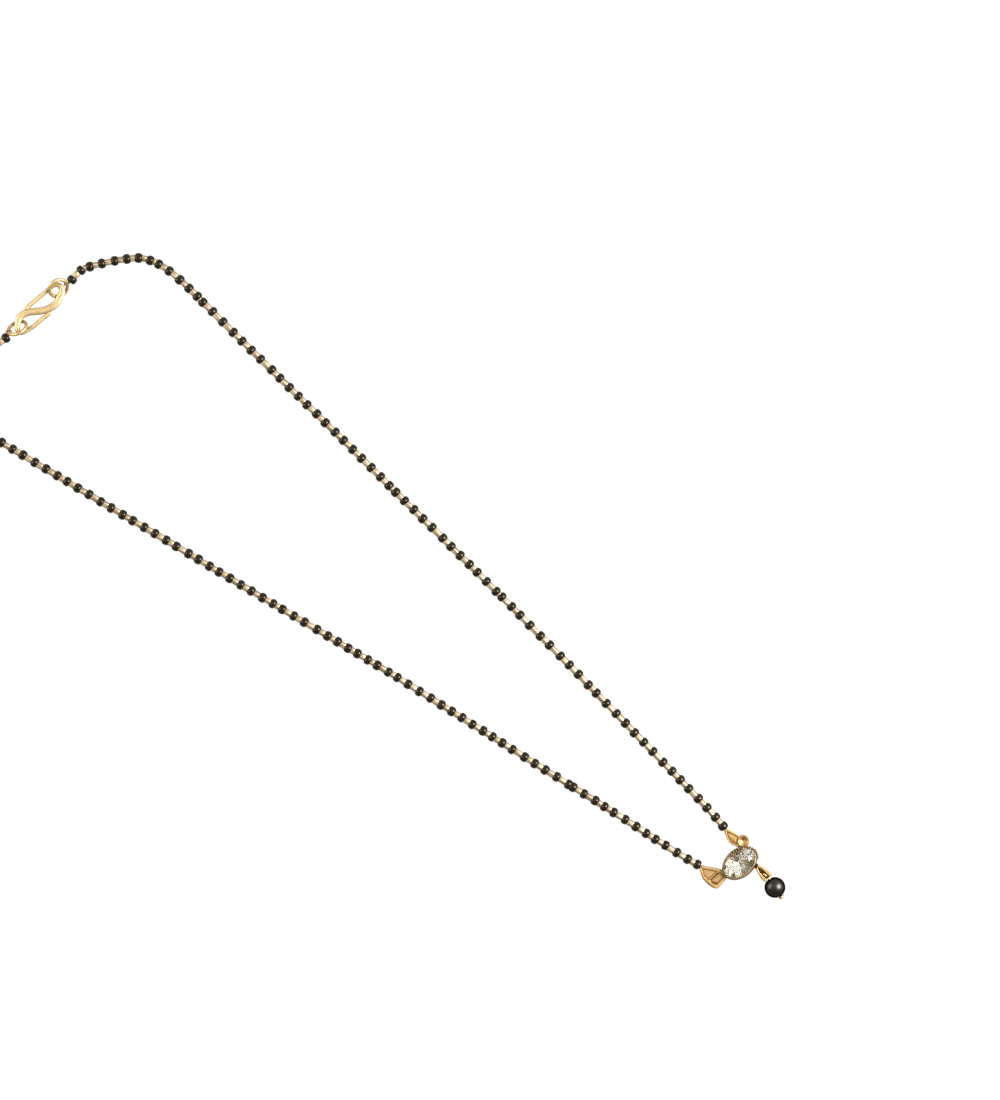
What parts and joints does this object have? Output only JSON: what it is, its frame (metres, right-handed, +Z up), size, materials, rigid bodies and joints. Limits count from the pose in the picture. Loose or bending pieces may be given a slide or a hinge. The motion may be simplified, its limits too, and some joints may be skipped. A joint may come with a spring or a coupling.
{
  "type": "necklace",
  "caption": "Short necklace of black glass beads and small gold tubes, closed by an S hook with rings, with an oval clear stone pendant that carries leaf shapes and a black drop bead.",
  "frame": {"origin": "middle of the necklace's outline as it lies flat, on the surface that it rests on", "axes": "+Y from the pendant towards the clasp, +X towards the right string, +Z up out of the surface"},
  "size_m": [0.0574, 0.2231, 0.0048],
  "materials": {
    "black_bead": "polished opaque black glass",
    "clasp_gold": "polished pale gold plate",
    "loop_gold": "fine gold wire coil",
    "pendant_gold": "cast and polished warm gold plate",
    "clear_stone": "cut and polished",
    "pin_gold": "polished gold wire",
    "black_drop": "polished opaque black with a grey metallic shine",
    "tube_gold": "rolled champagne gold tube",
    "thread": "waxed thread"
  },
  "bodies": {
    "root": {"bead_string_left": "black_bead", "bead_string_right": "black_bead", "bead_bend_left": "black_bead", "bead_bend_right": "black_bead", "s_hook": "clasp_gold", "clasp_ring_left": "clasp_gold", "clasp_ring_right": "clasp_gold", "end_loop_left": "loop_gold", "end_loop_right": "loop_gold", "setting": "pendant_gold", "stone": "clear_stone", "drop_pin": "pin_gold", "drop_bead": "black_drop"}
  },
  "joints": []
}
